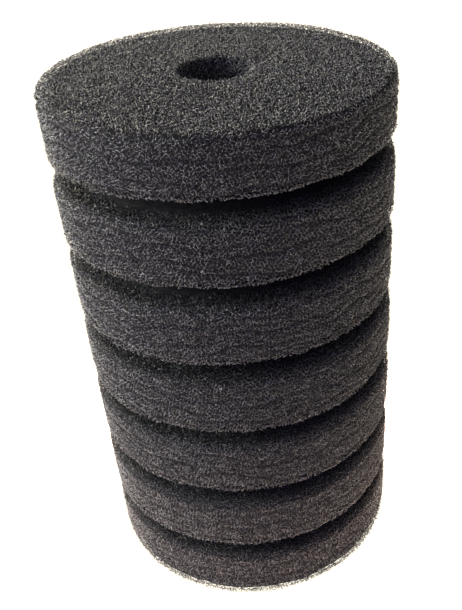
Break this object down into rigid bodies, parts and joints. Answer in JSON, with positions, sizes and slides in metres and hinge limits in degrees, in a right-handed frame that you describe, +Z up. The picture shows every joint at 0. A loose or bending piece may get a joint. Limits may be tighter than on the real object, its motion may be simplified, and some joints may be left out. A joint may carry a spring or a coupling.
{
  "type": "sponge filter",
  "caption": "Upright cylinder of open-cell foam with stacked ring ribs, narrow grooves between them and a straight bore down the axis for a lift tube.",
  "frame": {"origin": "centre of the base, on the surface that the sponge stands on", "axes": "+Z up along the bore, towards the top face; X and Y are any two directions across it, because it is round"},
  "size_m": [0.115, 0.115, 0.188],
  "materials": {
    "rib_foam": "matt open-cell reticulated polyurethane foam, charcoal, cut faces",
    "neck_foam": "the same foam in the bottom of the grooves, darker in their shade"
  },
  "bodies": {
    "rib_1": {"rib_1": "rib_foam", "neck_1": "neck_foam"},
    "rib_2": {"rib_2": "rib_foam", "neck_2": "neck_foam"},
    "rib_3": {"rib_3": "rib_foam", "neck_3": "neck_foam"},
    "rib_4": {"rib_4": "rib_foam", "neck_4": "neck_foam"},
    "rib_5": {"rib_5": "rib_foam", "neck_5": "neck_foam"},
    "rib_6": {"rib_6": "rib_foam", "neck_6": "neck_foam"},
    "rib_7": {"rib_7": "rib_foam"}
  },
  "joints": [
    {"name": "groove_1_squeeze", "type": "slide", "parent": "rib_1", "child": "rib_2", "axis": [0, 0, 1], "range_m": [-0.006, 0], "stiffness_N_per_m": 4000, "deforming": ["neck_1"]},
    {"name": "groove_2_squeeze", "type": "slide", "parent": "rib_2", "child": "rib_3", "axis": [0, 0, 1], "range_m": [-0.006, 0], "stiffness_N_per_m": 4000, "deforming": ["neck_2"]},
    {"name": "groove_3_squeeze", "type": "slide", "parent": "rib_3", "child": "rib_4", "axis": [0, 0, 1], "range_m": [-0.006, 0], "stiffness_N_per_m": 4000, "deforming": ["neck_3"]},
    {"name": "groove_4_squeeze", "type": "slide", "parent": "rib_4", "child": "rib_5", "axis": [0, 0, 1], "range_m": [-0.006, 0], "stiffness_N_per_m": 4000, "deforming": ["neck_4"]},
    {"name": "groove_5_squeeze", "type": "slide", "parent": "rib_5", "child": "rib_6", "axis": [0, 0, 1], "range_m": [-0.006, 0], "stiffness_N_per_m": 4000, "deforming": ["neck_5"]},
    {"name": "groove_6_squeeze", "type": "slide", "parent": "rib_6", "child": "rib_7", "axis": [0, 0, 1], "range_m": [-0.006, 0], "stiffness_N_per_m": 4000, "deforming": ["neck_6"]}
  ]
}
